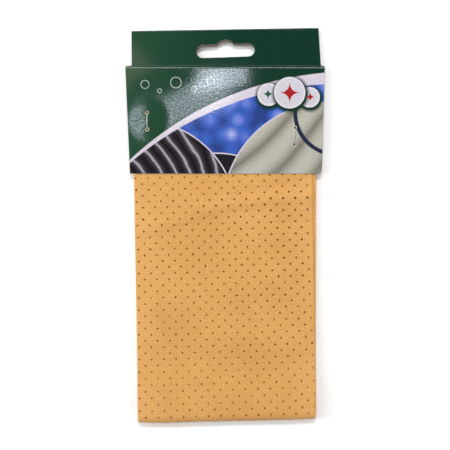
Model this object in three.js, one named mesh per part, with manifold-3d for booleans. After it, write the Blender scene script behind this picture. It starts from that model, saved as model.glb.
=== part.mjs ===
// Faux leather cleaning cloth, folded flat and held in a stapled header card with a hang tab.
// Millimetres. The pack lies on its back: +Z is out of its front, +Y is towards the hang tab.
// The origin is the middle of the footprint, on the surface that the pack lies on.

import * as THREE from 'three';
import { mergeVertices } from 'three/addons/utils/BufferGeometryUtils.js';
import Module from 'manifold-3d';

const wasm = await Module();
wasm.setup();

// Cloth: a sheet folded in thirds across its width, then in half along its length
const clothWidth = 101.5;        // across the folded pack
const clothLength = 199;         // from the cut ends under the card to the bottom fold
const plyThickness = 0.7;
const pressedGap = 0.15;         // air between plies where the card and staples press them
const looseGap = 0.35;           // air between plies below the card
const looseRun = 12;             // length over which the plies spread below the card
const cardReveal = 2.5;          // at the card, how far the outer ply's cut edge stops short of the side fold
const bottomReveal = 0.4;        // and at the bottom fold
const innerSetback = 0.6;        // the inner cut edge stops this far from the side fold
const foldOpening = 3;           // hollow inside the springy bottom fold, between the two halves
const openingRun = 34;           // length over which the halves part towards it
const bottomSkew = 2.4;          // the bottom fold's left end lies this much lower than its right end
const clothLean = 1.54;          // to the right over the cloth's length, about the card's lower edge
const bendSteps = 8;             // flats round the bottom fold
const sideFoldSteps = 6;         // flats round each side fold
const openingSteps = 4;

// Header card: one scored board, in six panels
const cardThickness = 0.4;
const panelOverhang = 4;         // beyond the cloth on each side, at the creases
const panelTaperLeft = 2;        // the left edge comes in this much from the crease to the lower edge
const panelTaperRight = 1;
const panelHeight = 58.2;
const panelCornerRadius = 2.6;   // on the front panel's lower right corner
const shoulderRise = 0.9;        // from the panels' creases up to the neck
const clothTopGap = 1.1;         // from the cloth's cut ends up to the creases
const scoreGap = 0.3;            // between a shoulder strip and the panel it folds from
const layGap = 0.15;             // between layers that lie on each other

// Hang tab: two plies that swing together at the neck
const tabBaseInsetLeft = 3.6;    // in from the panels' edges at the crease
const tabBaseInsetRight = 2;
const tabTopInsetLeft = 3.3;
const tabTopInsetRight = 3.8;
const tabHeight = 19.8;          // from the neck to the top edge, at the middle
const tabTopRise = 1.8;          // the top edge's right end stands this much higher than its left

// Hang slot, through both plies
const slotLength = 32;
const slotHeight = 7.05;
const slotBumpRadius = 5.9;      // round the middle of the slot, above it only
const slotAboveNeck = 4.9;       // from the neck up to the slot's lower edge
const slotShift = 0.25;          // right of the panels' middle
const slotTilt = THREE.MathUtils.degToRad(1.7);
const rearSlotDrop = 0.75;       // the rear ply's slot is punched this much lower
const rearSlotShift = 0.3;       // and this much to the right
const slotEndSteps = 8;

// Staples
const wireWidth = 0.65;
const wireThickness = 0.5;
const crownLength = 9.1;
const clinchLength = 3.2;
const legClearance = 0.3;
const leftStapleInset = 11.7;    // from the front panel's edge at the crease
const leftStapleDrop = 29.1;     // from the crease down to the crown's middle
const leftStapleTurn = THREE.MathUtils.degToRad(0.4);
const rightStapleInset = 16.3;
const rightStapleDrop = 37.5;
const rightStapleTurn = THREE.MathUtils.degToRad(-3);
const holeSides = 6;
const cornerSteps = 3;           // flats round the crown's corners

// Heights of the layers, from the surface up
const plyCount = 3;
const stackHalf = (gap) => gap / 2 + plyCount * plyThickness + (plyCount - 1) * gap;
const backPanelZ = wireThickness + layGap;
const pressedMidZ = backPanelZ + cardThickness + layGap + stackHalf(pressedGap);
const looseMidZ = stackHalf(looseGap);
const frontPanelZ = pressedMidZ + stackHalf(pressedGap) + layGap;
const frontFaceZ = frontPanelZ + cardThickness;
const crownZ = frontFaceZ + layGap;

// Places along the pack, with the middle of its whole length at zero
const wholeLength = bottomSkew / 2 + clothLength + clothTopGap + shoulderRise + tabHeight + tabTopRise / 2;
const bottomY = bottomSkew / 2 - wholeLength / 2;
const clothTopY = bottomY + clothLength;
const creaseY = clothTopY + clothTopGap;
const neckY = creaseY + shoulderRise;
const tabTopY = neckY + tabHeight;
const panelBottomY = creaseY - panelHeight;
const hingeGap = 2 * cardThickness;          // from the neck line to the plies of the tab
const cutOverrun = 2 * cardThickness;        // how far a cutter runs past what it cuts
const panelHalf = clothWidth / 2 + panelOverhang;    // from the middle to the panels' edges at the crease

function material(color, roughness, metalness) {
  return new THREE.MeshStandardMaterial({ color, roughness, metalness });
}

const tanLeather = material('#dfa863', 0.85, 0);
const greenBoard = material('#234a35', 0.35, 0);
const stapleWire = material('#a3a8a6', 0.35, 1);

function mesh(name, geometry, finish) {
  const piece = new THREE.Mesh(geometry, finish);
  piece.name = name;
  return piece;
}

// Closed solid from a mesh, and back
function solidOf(geometry) {
  const bare = geometry.index ? geometry.clone() : geometry;
  bare.deleteAttribute('normal');
  bare.deleteAttribute('uv');
  const merged = mergeVertices(bare);
  return new wasm.Manifold(new wasm.Mesh({
    numProp: 3,
    vertProperties: new Float32Array(merged.attributes.position.array),
    triVerts: new Uint32Array(merged.index.array),
  }));
}

function geometryOf(solid) {
  const data = solid.getMesh();
  const geometry = new THREE.BufferGeometry();
  geometry.setAttribute('position', new THREE.BufferAttribute(data.vertProperties, 3));
  geometry.setIndex(new THREE.BufferAttribute(data.triVerts, 1));
  geometry.computeVertexNormals();
  return geometry;
}

// A flat outline in X and Y, given its thickness upwards from z
function plate(outline, thickness, z) {
  const geometry = new THREE.ExtrudeGeometry(outline, { depth: thickness, bevelEnabled: false });
  return geometry.translate(0, 0, z);
}

// A side outline in Y and Z, drawn out to a width along X
function drawnAcross(outline, width) {
  const geometry = new THREE.ExtrudeGeometry(outline, {
    depth: width,
    bevelEnabled: false,
    curveSegments: cornerSteps,
  });
  geometry.translate(0, 0, -width / 2);
  const turn = new THREE.Matrix4().makeBasis(
    new THREE.Vector3(0, 1, 0),
    new THREE.Vector3(0, 0, 1),
    new THREE.Vector3(1, 0, 0),
  );
  return geometry.applyMatrix4(turn);
}

// Staples: where each stands, its legs, and the cutters for its holes
const staples = [
  {
    name: 'staple_left',
    x: leftStapleInset - panelHalf,
    y: creaseY - leftStapleDrop,
    turn: leftStapleTurn,
  },
  {
    name: 'staple_right',
    x: panelHalf - rightStapleInset,
    y: creaseY - rightStapleDrop,
    turn: rightStapleTurn,
  },
];

const legOffset = crownLength / 2 - wireThickness / 2;

function stapleMesh({ name, x, y, turn }) {
  const half = crownLength / 2;
  const top = crownZ + wireThickness;
  const shoulder = wireThickness / 2;
  const outline = new THREE.Shape();
  outline.moveTo(-half + shoulder, top);
  outline.quadraticCurveTo(-half, top, -half, top - shoulder);
  outline.lineTo(-half, 0);
  outline.lineTo(-half + clinchLength, 0);
  outline.lineTo(-half + clinchLength, wireThickness);
  outline.lineTo(-half + wireThickness, wireThickness);
  outline.lineTo(-half + wireThickness, crownZ);
  outline.lineTo(half - wireThickness, crownZ);
  outline.lineTo(half - wireThickness, wireThickness);
  outline.lineTo(half - clinchLength, wireThickness);
  outline.lineTo(half - clinchLength, 0);
  outline.lineTo(half, 0);
  outline.lineTo(half, top - shoulder);
  outline.quadraticCurveTo(half, top, half - shoulder, top);
  const staple = mesh(name, drawnAcross(outline, wireWidth), stapleWire);
  staple.position.set(x, y, 0);
  staple.rotation.z = turn;
  return staple;
}

function legCutters() {
  const radius = Math.hypot(wireWidth, wireThickness) / 2 + legClearance;
  const height = crownZ + cutOverrun;
  const cutters = [];
  for (const { x, y, turn } of staples) {
    for (const side of [-1, 1]) {
      const cutter = new THREE.CylinderGeometry(radius, radius, height, holeSides);
      cutter.rotateX(Math.PI / 2);
      cutter.translate(
        x - side * legOffset * Math.sin(turn),
        y + side * legOffset * Math.cos(turn),
        height / 2,
      );
      cutters.push(solidOf(cutter));
    }
  }
  return cutters;
}

const cutters = legCutters();

function punched(geometry) {
  const cut = cutters.reduce((solid, cutter) => solid.subtract(cutter), solidOf(geometry));
  return geometryOf(cut);
}

// Cross-section of three plies in x and n, where n is measured outwards from the pack's middle layer.
// The outer ply's free edge is on the right, and its fold on the left goes round the inner ply's free edge.
function arc(points, x, n, radius, from, to, steps) {
  for (let i = 0; i <= steps; i++) {
    const angle = from + (to - from) * i / steps;
    points.push([x + radius * Math.cos(angle), n + radius * Math.sin(angle)]);
  }
}

function plySection(gap, reveal) {
  const pitch = plyThickness + gap;
  const inner = gap / 2;                              // the ply next to the middle layer
  const middle = inner + pitch;                       // the ply inside the folds
  const outer = middle + pitch;                       // the ply that shows
  const leftRadius = (outer + plyThickness - inner) / 2;
  const rightRadius = (middle + plyThickness - inner) / 2;
  const leftX = leftRadius - clothWidth / 2;
  const rightX = clothWidth / 2 - rightRadius;
  const freeX = clothWidth / 2 - reveal;
  const innerEndX = leftX + innerSetback;
  const quarter = Math.PI / 2;
  const points = [[freeX, outer + plyThickness]];
  arc(points, leftX, inner + leftRadius, leftRadius, quarter, 3 * quarter, sideFoldSteps);
  arc(points, rightX, inner + rightRadius, rightRadius, -quarter, quarter, sideFoldSteps);
  points.push([innerEndX, middle + plyThickness]);
  points.push([innerEndX, middle]);
  arc(points, rightX, inner + rightRadius, gap / 2, quarter, -quarter, sideFoldSteps / 2);
  arc(points, leftX, inner + leftRadius, leftRadius - plyThickness, 3 * quarter, quarter, sideFoldSteps);
  points.push([freeX, outer]);
  return points;
}

// Rings down the front, round the bottom fold and up the back; open is the space between the two halves
function clothRings() {
  const bendY = bottomY + stackHalf(looseGap) + foldOpening / 2;
  const straight = [
    { y: clothTopY, z: pressedMidZ, gap: pressedGap, open: 0 },
    { y: panelBottomY, z: pressedMidZ, gap: pressedGap, open: 0 },
    { y: panelBottomY - looseRun, z: looseMidZ, gap: looseGap, open: 0 },
  ];
  for (let i = 0; i < openingSteps; i++) {
    const open = foldOpening * THREE.MathUtils.smoothstep(i, 0, openingSteps);
    const y = bendY + openingRun * (1 - i / openingSteps);
    straight.push({ y, z: looseMidZ + open / 2, gap: looseGap, open });
  }
  const rings = straight.map((ring) => ({ ...ring, angle: 0 }));
  const bendZ = looseMidZ + foldOpening / 2;
  for (let i = 0; i <= bendSteps; i++) {
    rings.push({ y: bendY, z: bendZ, gap: looseGap, open: foldOpening, angle: Math.PI * i / bendSteps });
  }
  for (const ring of [...straight].reverse()) {
    rings.push({ ...ring, angle: Math.PI });
  }
  return rings;
}

function clothGeometry() {
  const rings = clothRings();
  const positions = [];
  for (const { y, z, gap, open, angle } of rings) {
    const drop = (clothTopY - y) / clothLength;
    const lean = clothLean * (panelBottomY - y) / clothLength;
    const belowCard = Math.max(0, panelBottomY - y) / (panelBottomY - bottomY);
    const reveal = THREE.MathUtils.lerp(cardReveal, bottomReveal, belowCard);
    for (const [x, n] of plySection(gap, reveal)) {
      const skew = bottomSkew * drop * x / clothWidth;
      const out = n + open / 2;
      positions.push(x + lean, y + skew - out * Math.sin(angle), z + out * Math.cos(angle));
    }
  }
  const section = plySection(pressedGap, cardReveal);
  const count = section.length;
  const contour = section.map(([x, n]) => new THREE.Vector2(x, n));
  const cap = THREE.ShapeUtils.triangulateShape(contour, []);
  const lastRing = (rings.length - 1) * count;
  const indices = [];
  for (const [a, b, c] of cap) {
    indices.push(a, c, b);
    indices.push(lastRing + a, lastRing + b, lastRing + c);
  }
  for (let ring = 0; ring < rings.length - 1; ring++) {
    for (let i = 0; i < count; i++) {
      const a = ring * count + i;
      const b = ring * count + (i + 1) % count;
      indices.push(a, b, b + count);
      indices.push(a, b + count, a + count);
    }
  }
  const geometry = new THREE.BufferGeometry();
  geometry.setAttribute('position', new THREE.Float32BufferAttribute(positions, 3));
  geometry.setIndex(indices);
  return geometry;
}

// Header card: front and back panels
function panelOutline(cornerRadius) {
  const leftFoot = panelTaperLeft - panelHalf;
  const rightFoot = panelHalf - panelTaperRight;
  const outline = new THREE.Shape();
  outline.moveTo(-panelHalf, creaseY);
  outline.lineTo(leftFoot, panelBottomY);
  outline.lineTo(rightFoot - cornerRadius, panelBottomY);
  if (cornerRadius > 0) {
    outline.quadraticCurveTo(rightFoot, panelBottomY, rightFoot, panelBottomY + cornerRadius);
  }
  outline.lineTo(panelHalf, creaseY);
  return outline;
}

// Shoulder strip: leans from the front crease back to the neck; side is 1 in front and -1 behind
function shoulderOutline(side) {
  const creaseHeight = frontFaceZ - pressedMidZ;
  const neckHeight = layGap / 2 + cardThickness;
  const run = new THREE.Vector2(shoulderRise, neckHeight - creaseHeight);
  const inward = new THREE.Vector2(run.y, -run.x).normalize().multiplyScalar(cardThickness);
  const startHeight = creaseHeight - cardThickness - scoreGap;
  const start = new THREE.Vector2(
    creaseY + shoulderRise * (creaseHeight - startHeight) / (creaseHeight - neckHeight),
    startHeight,
  );
  const end = new THREE.Vector2(neckY, neckHeight);
  const corners = [start, end, end.clone().add(inward), start.clone().add(inward)];
  const outline = new THREE.Shape();
  outline.setFromPoints(corners.map((p) => new THREE.Vector2(p.x, pressedMidZ + side * p.y)));
  return outline;
}

// Hang slot: a long round-ended slot with a round bump in the middle of its upper edge
function slotPath(dx, dy) {
  const centreY = neckY + slotAboveNeck + slotHeight / 2;
  const endRadius = slotHeight / 2;
  const endX = slotLength / 2 - endRadius;
  const bumpStart = Math.asin(endRadius / slotBumpRadius);
  const quarter = Math.PI / 2;
  const points = [];
  arc(points, endX, 0, endRadius, -quarter, quarter, slotEndSteps);
  arc(points, 0, 0, slotBumpRadius, bumpStart, Math.PI - bumpStart, slotEndSteps);
  arc(points, -endX, 0, endRadius, quarter, 3 * quarter, slotEndSteps);
  const placed = points.map(([x, y]) => {
    const point = new THREE.Vector2(x, y).rotateAround(new THREE.Vector2(0, 0), slotTilt);
    return point.add(new THREE.Vector2(slotShift + dx, centreY + dy));
  });
  return new THREE.Path(placed);
}

function tabOutline(dx, dy) {
  const outline = new THREE.Shape();
  outline.moveTo(tabBaseInsetLeft - panelHalf, neckY + hingeGap);
  outline.lineTo(panelHalf - tabBaseInsetRight, neckY + hingeGap);
  outline.lineTo(panelHalf - tabTopInsetRight, tabTopY + tabTopRise / 2);
  outline.lineTo(tabTopInsetLeft - panelHalf, tabTopY - tabTopRise / 2);
  outline.closePath();
  outline.holes.push(slotPath(dx, dy));
  return outline;
}

const tabFrontZ = pressedMidZ + layGap / 2;
const tabRearZ = pressedMidZ - layGap / 2 - cardThickness;

const pack = new THREE.Group();
pack.add(mesh('cleaning_cloth', punched(clothGeometry()), tanLeather));
pack.add(mesh(
  'header_front_panel',
  punched(plate(panelOutline(panelCornerRadius), cardThickness, frontPanelZ)),
  greenBoard,
));
pack.add(mesh(
  'header_back_panel',
  punched(plate(panelOutline(0), cardThickness, backPanelZ)),
  greenBoard,
));
pack.add(mesh('header_front_shoulder', drawnAcross(shoulderOutline(1), 2 * panelHalf), greenBoard));
pack.add(mesh('header_back_shoulder', drawnAcross(shoulderOutline(-1), 2 * panelHalf), greenBoard));
pack.add(mesh('tab_front_ply', plate(tabOutline(0, 0), cardThickness, tabFrontZ), greenBoard));
pack.add(mesh(
  'tab_rear_ply',
  plate(tabOutline(rearSlotShift, -rearSlotDrop), cardThickness, tabRearZ),
  greenBoard,
));
for (const staple of staples) {
  pack.add(stapleMesh(staple));
}

export default pack;
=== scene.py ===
import math
import bmesh
import bpy
from mathutils import Matrix, Vector, noise


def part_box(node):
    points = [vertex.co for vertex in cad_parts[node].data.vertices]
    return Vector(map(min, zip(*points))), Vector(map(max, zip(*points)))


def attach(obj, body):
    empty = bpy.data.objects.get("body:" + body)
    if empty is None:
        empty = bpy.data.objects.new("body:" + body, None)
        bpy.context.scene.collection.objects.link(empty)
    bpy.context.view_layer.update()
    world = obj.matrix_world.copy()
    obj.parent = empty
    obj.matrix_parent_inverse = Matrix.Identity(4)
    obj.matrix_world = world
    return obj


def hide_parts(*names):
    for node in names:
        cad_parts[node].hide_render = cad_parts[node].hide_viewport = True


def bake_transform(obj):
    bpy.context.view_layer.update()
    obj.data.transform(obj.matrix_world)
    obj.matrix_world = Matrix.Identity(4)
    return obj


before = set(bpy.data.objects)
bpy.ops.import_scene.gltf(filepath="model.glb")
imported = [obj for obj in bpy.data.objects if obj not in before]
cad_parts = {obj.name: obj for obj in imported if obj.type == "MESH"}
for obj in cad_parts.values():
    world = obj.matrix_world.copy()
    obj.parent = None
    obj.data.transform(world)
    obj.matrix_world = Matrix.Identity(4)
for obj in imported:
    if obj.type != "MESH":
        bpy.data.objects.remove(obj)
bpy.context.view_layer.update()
mm = 0.001  # meshes are made in millimetres and brought to metres when they are finished
mergeReach = 0.01  # mm, within which two vertices are one
cutReach = 0.002  # mm, within which a vertex lies on a cut
edgeReach = 0.02  # mm, within which one lies on the cloth's cut edge


def boxOf(node):
    low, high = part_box(node)
    return low / mm, high / mm


def middleOf(node):
    low, high = boxOf(node)
    return (low + high) / 2


clothLow, clothHigh = boxOf("cleaning_cloth")
frontLow, frontHigh = boxOf("header_front_panel")
backLow, backHigh = boxOf("header_back_panel")
tabLow, tabHigh = boxOf("tab_front_ply")


# Small helpers for meshes

def everything(bm):
    return bm.verts[:] + bm.edges[:] + bm.faces[:]


def vertsOf(geometry):
    return [g for g in geometry if isinstance(g, bmesh.types.BMVert)]


def edgesOf(geometry):
    return [g for g in geometry if isinstance(g, bmesh.types.BMEdge)]


def edgesBeside(verts):
    return list({e for v in verts for e in v.link_edges})


def cutAt(bm, point, direction, clear=False):
    bmesh.ops.bisect_plane(
        bm, geom=everything(bm), dist=cutReach, plane_co=point, plane_no=direction, clear_outer=clear
    )


def cutAcross(bm, axis, places):
    for place in places:
        cutAt(bm, [a * place for a in axis], axis)


def newPiece(name, bm, materials):
    bmesh.ops.scale(bm, vec=(mm, mm, mm), verts=bm.verts)
    data = bpy.data.meshes.new(name)
    bm.to_mesh(data)
    bm.free()
    for material in materials:
        data.materials.append(material)
    piece = bpy.data.objects.new(name, data)
    bpy.context.scene.collection.objects.link(piece)
    return piece


def thicken(piece, thickness, rim, inside):
    solid = piece.modifiers.new("thickness", "SOLIDIFY")
    solid.thickness = thickness * mm
    solid.offset = 0
    solid.use_even_offset = False
    solid.material_offset = inside
    solid.material_offset_rim = rim
    seen = piece.evaluated_get(bpy.context.evaluated_depsgraph_get())
    piece.data = bpy.data.meshes.new_from_object(seen)
    piece.data.name = piece.name
    piece.modifiers.clear()


def smoothExceptAt(piece, degrees):
    piece.data.shade_smooth()
    piece.data.set_sharp_from_angle(angle=math.radians(degrees))


def smoothStep(low, high, value):
    t = min(1, max(0, (value - low) / (high - low)))
    return t * t * (3 - 2 * t)


def softNoise(x, y, wave):
    lengthX, lengthY, layer = wave
    return noise.noise(Vector((x / lengthX, y / lengthY, layer)))


# Small helpers for materials

def linear(hexCode):
    channels = [int(hexCode[i:i + 2], 16) / 255 for i in (1, 3, 5)]
    return [c / 12.92 if c <= 0.04045 else ((c + 0.055) / 1.055) ** 2.4 for c in channels] + [1]


def setStops(elements, stops):
    for element, (position, colour) in zip(elements, (stops[0], stops[-1])):
        element.position, element.color = position, linear(colour)
    for position, colour in stops[1:-1]:
        elements.new(position).color = linear(colour)


# A link from a node takes its first output
def plug(tree, node, links):
    for name, source in links.items():
        if isinstance(source, bpy.types.Node):
            source = source.outputs[0]
        tree.links.new(source, node.inputs[name])


# Settings name the node's attributes, its inputs or, as stops, a ramp's places and colours
def addNode(tree, kind, settings=None, links=None):
    node = tree.nodes.new("ShaderNode" + kind)
    for name, value in (settings or {}).items():
        if name == "stops":
            setStops(node.color_ramp.elements, value)
        elif isinstance(name, str) and hasattr(node, name):
            setattr(node, name, value)
        else:
            node.inputs[name].default_value = value
    plug(tree, node, links or {})
    return node


def newMaterial(name, settings):
    material = bpy.data.materials.new(name)
    material.use_nodes = True
    shader = material.node_tree.nodes["Principled BSDF"]
    for socket, value in settings.items():
        shader.inputs[socket].default_value = value
    return material, material.node_tree, shader


def multiplied(tree, tone, shade):
    settings = {"data_type": "RGBA", "blend_type": "MULTIPLY", 0: 1.0}
    return addNode(tree, "Mix", settings, {6: tone, 7: shade}).outputs[2]


# Lays paints over a base one after another, each where its mask is 1
def painted(tree, base, layers):
    for mask, paint in layers:
        settings, links = {"data_type": "RGBA"}, {0: mask, 6: base}
        if isinstance(paint, str):
            settings[7] = linear(paint)
        else:
            links[7] = paint
        base = addNode(tree, "Mix", settings, links).outputs[2]
    return base


# Cloth: perforated synthetic chamois, folded in thirds and then in half
clothCut = {
    "width": 101.5,  # folded
    "ply": 0.7,
    "pressedGap": 0.15,  # under the card
    "looseGap": 0.35,
    "looseRun": 12,
    "cardReveal": 2.5,  # from the side fold to the outer ply's cut edge, at the card
    "bottomReveal": 0.4,
    "innerSetback": 0.6,
    "foldOpening": 3,
    "openingRun": 34,
    "skew": 2.4,
    "lean": 1.54,
    "footLift": 0.7,
    "sideFoldCuts": 7,
    "bottomFoldCuts": 14,
    "columnPitch": 6.87,
    "rowPitch": 3.45,
    "holeRadius": 0.6,
    "holeSizes": (1.0, 0.9),  # near the outer ply's cut edge and away from it
    "holeSizeRun": (5, 70),  # across the cut, where they change
    "holeClosing": 0.14,  # how much smaller they are at the foot
    "closingRun": (90, 180),  # down the cut, where they change
    "holeVariety": 0.16,
    "varietyNoise": (0.7, 0.9, 2.2),  # steps for a column and a row, and the noise's layer
    "firstHole": (8.05, 67.42),  # across from the side fold's edge, and down from the cut ends
    # columns of tiles from the outer ply's cut edge on, and their holes' sides, none where they are hidden
    "fields": [(17, 8), (10, 0), (7, 6), (12, 0)],
    "spareRows": 3,
    "rowSlope": 0.2,  # degrees
    "columnSlope": 1.0,
    "stretchMiddle": 116,  # down the cloth, where the rows lie closest
    "stretchDown": 0.00047,
    "stretchAcross": (-0.014, 0.03),  # at the card and at the foot
    "stretchRun": (90, 190),
    "stretchLift": 0.5,
    "rise": 0.9,  # of the outer ply's soft waves
    "riseLevels": (0.5, 0.4, 0.2),  # their middle level, and the shares of broad and of small waves
    "broadWaves": (38, 30, 1.7),  # lengths across and along, and the noise's layer
    "smallWaves": (17, 24, 5.1),
    "shoulder": 15,  # how far in from the side folds they reach their full height
    "riseRun": 22,  # and how far below the card
    "wrinkleRun": 4,
    "wrinkles": [  # x, y, rise and its widths above and below, along each crease or swelling
        [(-48, -1, 0.7, 12, 2.3), (2, 14, 1.25, 9, 2.2), (20, 16.5, 1.2, 3.2, 3.2),
         (47, 18.5, 1.2, 3.2, 3.2)],
        [(5, 19, -0.5, 2.2, 2.2), (45, 28, -0.5, 2.2, 2.2)],
        [(33, 4, -0.8, 5, 5), (47, 5, -0.8, 5, 5)],
        [(-50, -9, 0.3, 2, 2), (-28, -6, 0.3, 2, 2)],
        [(-34, -64, 0.8, 9, 9), (42, -64, 0.8, 9, 9)],
        [(22, -30, 0.5, 8, 8), (32, -22, 0.5, 8, 8)],
        [(-46, -88, 0.4, 5, 5), (-14, -84, 0.4, 5, 5)],
    ],
    "span": 410,  # of the cut that the flat map covers
    "reverseShadeFrom": 6,  # past the right side fold, where the middle ply is hidden; its upper face there takes the reverse's painted shade, seen through the holes
}

clothTop = clothHigh.y
cardFoot = frontLow.y
clothHalf = clothCut["width"] / 2


# Heights of the inner, middle and outer ply above the stack's middle
def levels(gap):
    pitch = clothCut["ply"] + gap
    inner = gap / 2 + clothCut["ply"] / 2
    return inner, inner + pitch, inner + 2 * pitch


# Half the stack has three plies, two gaps between them and half the middle gap
def stackHalf(gap):
    return gap / 2 + 3 * clothCut["ply"] + 2 * gap


pressedMid = (frontLow.z + backHigh.z) / 2
looseMid = stackHalf(clothCut["looseGap"])
clothFoot = clothLow.y + clothCut["skew"] / 2 + clothCut["footLift"]
bendY = clothFoot + looseMid + clothCut["foldOpening"] / 2
frontRun = clothTop - bendY
bendRun = math.pi * (levels(clothCut["looseGap"])[2] + clothCut["foldOpening"] / 2)
clothRun = 2 * frontRun + bendRun
middleV = clothRun / 2


def sideFolds(gap):
    left = clothCut["ply"] + gap
    right = (clothCut["ply"] + gap) / 2
    leftX = left + clothCut["ply"] / 2 - clothHalf
    rightX = clothHalf - right - clothCut["ply"] / 2
    return left, right, leftX, rightX


def acrossBreaks():
    left, right, leftX, rightX = sideFolds(clothCut["looseGap"])
    ends = [clothHalf - leftX]
    ends.append(ends[-1] + math.pi * left)
    ends.append(ends[-1] + rightX - leftX)
    ends.append(ends[-1] + math.pi * right)
    ends.append(ends[-1] + rightX - leftX - clothCut["innerSetback"])
    return ends


breaks = acrossBreaks()


# Across the flat cut, s runs from the outer ply's right edge over both side folds
def across(s, gap):
    inner, middle, outer = levels(gap)
    left, right, leftX, rightX = sideFolds(gap)
    if s < breaks[0]:
        share = (breaks[0] - s) / breaks[0]
        return leftX + share * (clothHalf - leftX), outer
    if s < breaks[1]:
        angle = math.pi * (s - breaks[0]) / (breaks[1] - breaks[0])
        return leftX - left * math.sin(angle), inner + left + left * math.cos(angle)
    if s < breaks[2]:
        share = (s - breaks[1]) / (breaks[2] - breaks[1])
        return leftX + share * (rightX - leftX), inner
    if s < breaks[3]:
        angle = math.pi * (s - breaks[2]) / (breaks[3] - breaks[2])
        return rightX + right * math.sin(angle), inner + right - right * math.cos(angle)
    return rightX - (s - breaks[3]), middle


def wrinkleAt(x, y):
    total, here = 0, Vector((x, y))
    for points in clothCut["wrinkles"]:
        heights = []
        for start, end in zip(points, points[1:]):
            a, b = Vector(start[:2]), Vector(end[:2])
            along = min(1, max(0, (here - a).dot(b - a) / (b - a).length_squared))
            spot = a.lerp(b, along)
            rise, above, below = Vector(start[2:]).lerp(Vector(end[2:]), along)
            width = above if y > spot.y else below
            heights.append(rise * math.exp(-((here - spot).length / width) ** 2))
        total += max(heights, key=abs)
    return total


def softRise(x, y):
    level, broad, small = clothCut["riseLevels"]
    waves = level + broad * softNoise(x, y, clothCut["broadWaves"])
    waves += small * softNoise(x, y, clothCut["smallWaves"])
    below, inward = cardFoot - y, clothHalf - abs(x)
    free = smoothStep(0, clothCut["riseRun"], below) * smoothStep(0, clothCut["shoulder"], inward)
    return free * clothCut["rise"] * waves + smoothStep(0, clothCut["wrinkleRun"], below) * wrinkleAt(x, y)


# Down the flat cut, v runs from the front's end under the card round the bottom fold to the back's end
def folded(s, v):
    angle = math.pi * min(1, max(0, (v - frontRun) / bendRun))
    y = clothTop - min(v, frontRun, clothRun - v)
    if 0 < angle < math.pi:
        y = bendY
    loose = smoothStep(0, clothCut["looseRun"], cardFoot - y)
    gap = clothCut["pressedGap"] + loose * (clothCut["looseGap"] - clothCut["pressedGap"])
    opening = clothCut["foldOpening"] * smoothStep(clothCut["openingRun"], 0, y - bendY)
    middle = pressedMid + loose * (looseMid - pressedMid) + opening / 2
    x, n = across(s, gap)
    out = n + opening / 2
    if angle < math.pi:
        share = n / levels(gap)[2] * math.cos(angle / 2) ** 2
        out += share * softRise(x, y)
    lean = clothCut["lean"] * (cardFoot - y) / (clothTop - clothFoot)
    tilt = clothCut["skew"] * smoothStep(0, clothTop - cardFoot, clothTop - y) * x / clothCut["width"]
    return Vector((x + lean, y + tilt - out * math.sin(angle), middle + out * math.cos(angle)))


# A diamond of cloth with a round hole in it, or a whole one for no sides
def holeTile(bm, sides):
    rim = bmesh.ops.create_circle(bm, cap_ends=sides == 0, segments=4, radius=1)["verts"]
    size = (clothCut["columnPitch"] / 2, clothCut["rowPitch"], 1)
    bmesh.ops.scale(bm, vec=size, verts=rim)
    bmesh.ops.subdivide_edges(bm, edges=edgesBeside(rim), cuts=1)
    if sides:
        hole = bmesh.ops.create_circle(bm, segments=sides, radius=clothCut["holeRadius"])["verts"]
        holeEdges = edgesBeside(hole)
        rimEdges = [e for e in bm.edges if e not in holeEdges]
        bmesh.ops.bridge_loops(bm, edges=rimEdges + holeEdges)


def repeated(bm, step, count):
    bmesh.ops.spin(bm, geom=everything(bm), dvec=step, axis=(0, 0, 1), steps=count - 1, use_duplicate=True)


def tileField(bm, sides, columns, rows):
    holeTile(bm, sides)
    pitch, row = clothCut["columnPitch"], clothCut["rowPitch"]
    repeated(bm, (pitch, 0, 0), columns)
    shifted = bmesh.ops.duplicate(bm, geom=everything(bm))["geom"]
    bmesh.ops.translate(bm, vec=(pitch / 2, row, 0), verts=vertsOf(shifted))
    repeated(bm, (0, 2 * row, 0), rows)


def joined(fields):
    whole = bmesh.new()
    for field, shift in fields:
        bmesh.ops.translate(field, vec=shift, verts=field.verts)
        carrier = bpy.data.meshes.new("field")
        field.to_mesh(carrier)
        field.free()
        whole.from_mesh(carrier)
        bpy.data.meshes.remove(carrier)
    bmesh.ops.remove_doubles(whole, verts=whole.verts, dist=mergeReach)
    return whole


def holeSize(i, j, s, v):
    large, small = clothCut["holeSizes"]
    plain = large + (small - large) * smoothStep(*clothCut["holeSizeRun"], s)
    closed = 1 - clothCut["holeClosing"] * smoothStep(*clothCut["closingRun"], v)
    column, row, layer = clothCut["varietyNoise"]
    return plain * closed * (1 + clothCut["holeVariety"] * noise.noise(Vector((i * column, j * row, layer))))


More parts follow.
